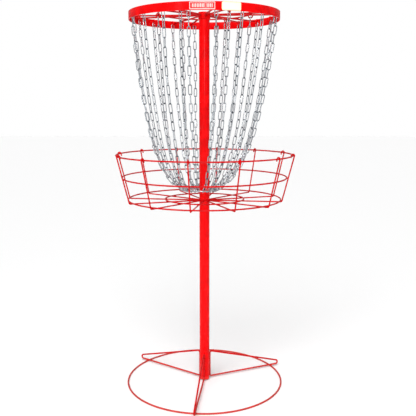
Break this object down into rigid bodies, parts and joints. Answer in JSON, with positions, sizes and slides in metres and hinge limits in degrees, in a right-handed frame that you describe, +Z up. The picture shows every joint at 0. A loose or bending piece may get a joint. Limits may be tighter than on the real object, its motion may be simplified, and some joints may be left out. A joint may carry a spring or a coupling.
{
  "type": "disc golf basket",
  "caption": "Portable disc golf target: a ring base and sectioned pole carry a wire basket under a flat hoop of hanging chains.",
  "frame": {"origin": "on the ground, on the pole's axis", "axes": "+Z up along the pole, -Y towards the front, +X to the right seen from the front"},
  "size_m": [0.6572, 0.6572, 1.387],
  "materials": {
    "red_powder_coat": "gloss powder coat",
    "galvanised_chain": "bright zinc",
    "galvanised_ring": "bright zinc",
    "embossed_plate": "gloss paint on pressed sheet",
    "paper_label": "matt paper"
  },
  "bodies": {
    "base": {"base_ring": "red_powder_coat", "base_tube": "red_powder_coat", "base_loop_1": "red_powder_coat", "base_loop_2": "red_powder_coat", "base_loop_3": "red_powder_coat"},
    "basket": {"lower_pole": "red_powder_coat", "basket_hub": "red_powder_coat", "basket_rim": "red_powder_coat", "middle_hoop": "red_powder_coat", "lower_hoop": "red_powder_coat", "floor_ring": "red_powder_coat", "basket_wire_1": "red_powder_coat", "basket_wire_2": "red_powder_coat", "basket_wire_3": "red_powder_coat", "basket_wire_4": "red_powder_coat", "basket_wire_5": "red_powder_coat", "basket_wire_6": "red_powder_coat", "basket_wire_7": "red_powder_coat", "basket_wire_8": "red_powder_coat", "basket_wire_9": "red_powder_coat", "basket_wire_10": "red_powder_coat", "basket_wire_11": "red_powder_coat", "basket_wire_12": "red_powder_coat"},
    "head": {"upper_pole": "red_powder_coat", "head_cap": "red_powder_coat", "chain_band": "red_powder_coat", "inner_eye_ring": "red_powder_coat", "head_arm_1": "red_powder_coat", "head_arm_2": "red_powder_coat", "head_arm_3": "red_powder_coat", "head_arm_4": "red_powder_coat", "head_arm_5": "red_powder_coat", "head_arm_6": "red_powder_coat", "name_plate": "embossed_plate", "band_label": "paper_label"},
    "collector": {"collector_ring": "galvanised_ring"},
    "outer_chain_1": {"outer_chain_1": "galvanised_chain"},
    "outer_chain_2": {"outer_chain_2": "galvanised_chain"},
    "outer_chain_3": {"outer_chain_3": "galvanised_chain"},
    "outer_chain_4": {"outer_chain_4": "galvanised_chain"},
    "outer_chain_5": {"outer_chain_5": "galvanised_chain"},
    "outer_chain_6": {"outer_chain_6": "galvanised_chain"},
    "outer_chain_7": {"outer_chain_7": "galvanised_chain"},
    "outer_chain_8": {"outer_chain_8": "galvanised_chain"},
    "outer_chain_9": {"outer_chain_9": "galvanised_chain"},
    "outer_chain_10": {"outer_chain_10": "galvanised_chain"},
    "outer_chain_11": {"outer_chain_11": "galvanised_chain"},
    "outer_chain_12": {"outer_chain_12": "galvanised_chain"},
    "outer_chain_13": {"outer_chain_13": "galvanised_chain"},
    "outer_chain_14": {"outer_chain_14": "galvanised_chain"},
    "outer_chain_15": {"outer_chain_15": "galvanised_chain"},
    "outer_chain_16": {"outer_chain_16": "galvanised_chain"},
    "outer_chain_17": {"outer_chain_17": "galvanised_chain"},
    "outer_chain_18": {"outer_chain_18": "galvanised_chain"},
    "inner_chain_1": {"inner_chain_1": "galvanised_chain"},
    "inner_chain_2": {"inner_chain_2": "galvanised_chain"},
    "inner_chain_3": {"inner_chain_3": "galvanised_chain"},
    "inner_chain_4": {"inner_chain_4": "galvanised_chain"},
    "inner_chain_5": {"inner_chain_5": "galvanised_chain"},
    "inner_chain_6": {"inner_chain_6": "galvanised_chain"}
  },
  "joints": [
    {"name": "basket_lift", "type": "slide", "parent": "base", "child": "basket", "axis": [0, 0, 1], "range_m": [0, 0.055]},
    {"name": "head_lift", "type": "slide", "parent": "basket", "child": "head", "axis": [0, 0, 1], "range_m": [0, 0.06]},
    {"name": "collector_turn", "type": "hinge", "parent": "head", "child": "collector", "pos_m": [-0.012, 0, 0.74695], "axis": [0, 0, 1], "continuous": true},
    {"name": "outer_chain_1_swing", "type": "hinge", "parent": "head", "child": "outer_chain_1", "pos_m": [0.04052, -0.25581, 1.36645], "axis": [0.07, -0.3068, 0.9492], "range_deg": [-35, 35]},
    {"name": "outer_chain_2_swing", "type": "hinge", "parent": "head", "child": "outer_chain_2", "pos_m": [0.12557, -0.22653, 1.36645], "axis": [0.1782, -0.2669, 0.9471], "range_deg": [-35, 35]},
    {"name": "outer_chain_3_swing", "type": "hinge", "parent": "head", "child": "outer_chain_3", "pos_m": [0.19547, -0.16992, 1.36645], "axis": [0.2494, -0.2068, 0.946], "range_deg": [-35, 35]},
    {"name": "outer_chain_4_swing", "type": "hinge", "parent": "head", "child": "outer_chain_4", "pos_m": [0.2418, -0.09282, 1.36645], "axis": [0.3085, -0.1082, 0.945], "range_deg": [-35, 35]},
    {"name": "outer_chain_5_swing", "type": "hinge", "parent": "head", "child": "outer_chain_5", "pos_m": [0.25896, -0.00452, 1.36645], "axis": [0.3286, 0.005, 0.9445], "range_deg": [-35, 35]},
    {"name": "outer_chain_6_swing", "type": "hinge", "parent": "head", "child": "outer_chain_6", "pos_m": [0.24489, 0.08432, 1.36645], "axis": [0.3126, 0.0966, 0.9449], "range_deg": [-35, 35]},
    {"name": "outer_chain_7_swing", "type": "hinge", "parent": "head", "child": "outer_chain_7", "pos_m": [0.20128, 0.16299, 1.36645], "axis": [0.2574, 0.1974, 0.9459], "range_deg": [-35, 35]},
    {"name": "outer_chain_8_swing", "type": "hinge", "parent": "head", "child": "outer_chain_8", "pos_m": [0.1334, 0.22201, 1.36645], "axis": [0.1696, 0.272, 0.9472], "range_deg": [-35, 35]},
    {"name": "outer_chain_9_swing", "type": "hinge", "parent": "head", "child": "outer_chain_9", "pos_m": [0.04942, 0.25424, 1.36645], "axis": [0.0821, 0.3045, 0.949], "range_deg": [-35, 35]},
    {"name": "outer_chain_10_swing", "type": "hinge", "parent": "head", "child": "outer_chain_10", "pos_m": [-0.04052, 0.25581, 1.36645], "axis": [-0.0333, 0.3074, 0.951], "range_deg": [-35, 35]},
    {"name": "outer_chain_11_swing", "type": "hinge", "parent": "head", "child": "outer_chain_11", "pos_m": [-0.12557, 0.22653, 1.36645], "axis": [-0.1424, 0.2685, 0.9527], "range_deg": [-35, 35]},
    {"name": "outer_chain_12_swing", "type": "hinge", "parent": "head", "child": "outer_chain_12", "pos_m": [-0.19547, 0.16992, 1.36645], "axis": [-0.2146, 0.2086, 0.9542], "range_deg": [-35, 35]},
    {"name": "outer_chain_13_swing", "type": "hinge", "parent": "head", "child": "outer_chain_13", "pos_m": [-0.2418, 0.09282, 1.36645], "axis": [-0.2749, 0.1094, 0.9552], "range_deg": [-35, 35]},
    {"name": "outer_chain_14_swing", "type": "hinge", "parent": "head", "child": "outer_chain_14", "pos_m": [-0.25896, 0.00452, 1.36645], "axis": [-0.2953, -0.005, 0.9554], "range_deg": [-35, 35]},
    {"name": "outer_chain_15_swing", "type": "hinge", "parent": "head", "child": "outer_chain_15", "pos_m": [-0.24489, -0.08432, 1.36645], "axis": [-0.2791, -0.0977, 0.9553], "range_deg": [-35, 35]},
    {"name": "outer_chain_16_swing", "type": "hinge", "parent": "head", "child": "outer_chain_16", "pos_m": [-0.20128, -0.16299, 1.36645], "axis": [-0.2227, -0.1992, 0.9543], "range_deg": [-35, 35]},
    {"name": "outer_chain_17_swing", "type": "hinge", "parent": "head", "child": "outer_chain_17", "pos_m": [-0.1334, -0.22201, 1.36645], "axis": [-0.1336, -0.2735, 0.9525], "range_deg": [-35, 35]},
    {"name": "outer_chain_18_swing", "type": "hinge", "parent": "head", "child": "outer_chain_18", "pos_m": [-0.04942, -0.25424, 1.36645], "axis": [-0.0455, -0.3052, 0.9512], "range_deg": [-35, 35]},
    {"name": "inner_chain_1_swing", "type": "hinge", "parent": "head", "child": "inner_chain_1", "pos_m": [0.08498, -0.14143, 1.36645], "axis": [0.1004, -0.1535, 0.983], "range_deg": [-35, 35]},
    {"name": "inner_chain_2_swing", "type": "hinge", "parent": "head", "child": "inner_chain_2", "pos_m": [0.16498, 0.00288, 1.36645], "axis": [0.1923, -0.0062, 0.9813], "range_deg": [-35, 35]},
    {"name": "inner_chain_3_swing", "type": "hinge", "parent": "head", "child": "inner_chain_3", "pos_m": [0.07999, 0.14431, 1.36645], "axis": [0.1112, 0.1472, 0.9828], "range_deg": [-35, 35]},
    {"name": "inner_chain_4_swing", "type": "hinge", "parent": "head", "child": "inner_chain_4", "pos_m": [-0.08498, 0.14143, 1.36645], "axis": [-0.0625, 0.1539, 0.9861], "range_deg": [-35, 35]},
    {"name": "inner_chain_5_swing", "type": "hinge", "parent": "head", "child": "inner_chain_5", "pos_m": [-0.16498, -0.00288, 1.36645], "axis": [-0.1553, 0.0063, 0.9878], "range_deg": [-35, 35]},
    {"name": "inner_chain_6_swing", "type": "hinge", "parent": "head", "child": "inner_chain_6", "pos_m": [-0.07999, -0.14431, 1.36645], "axis": [-0.0734, -0.1477, 0.9863], "range_deg": [-35, 35]}
  ]
}
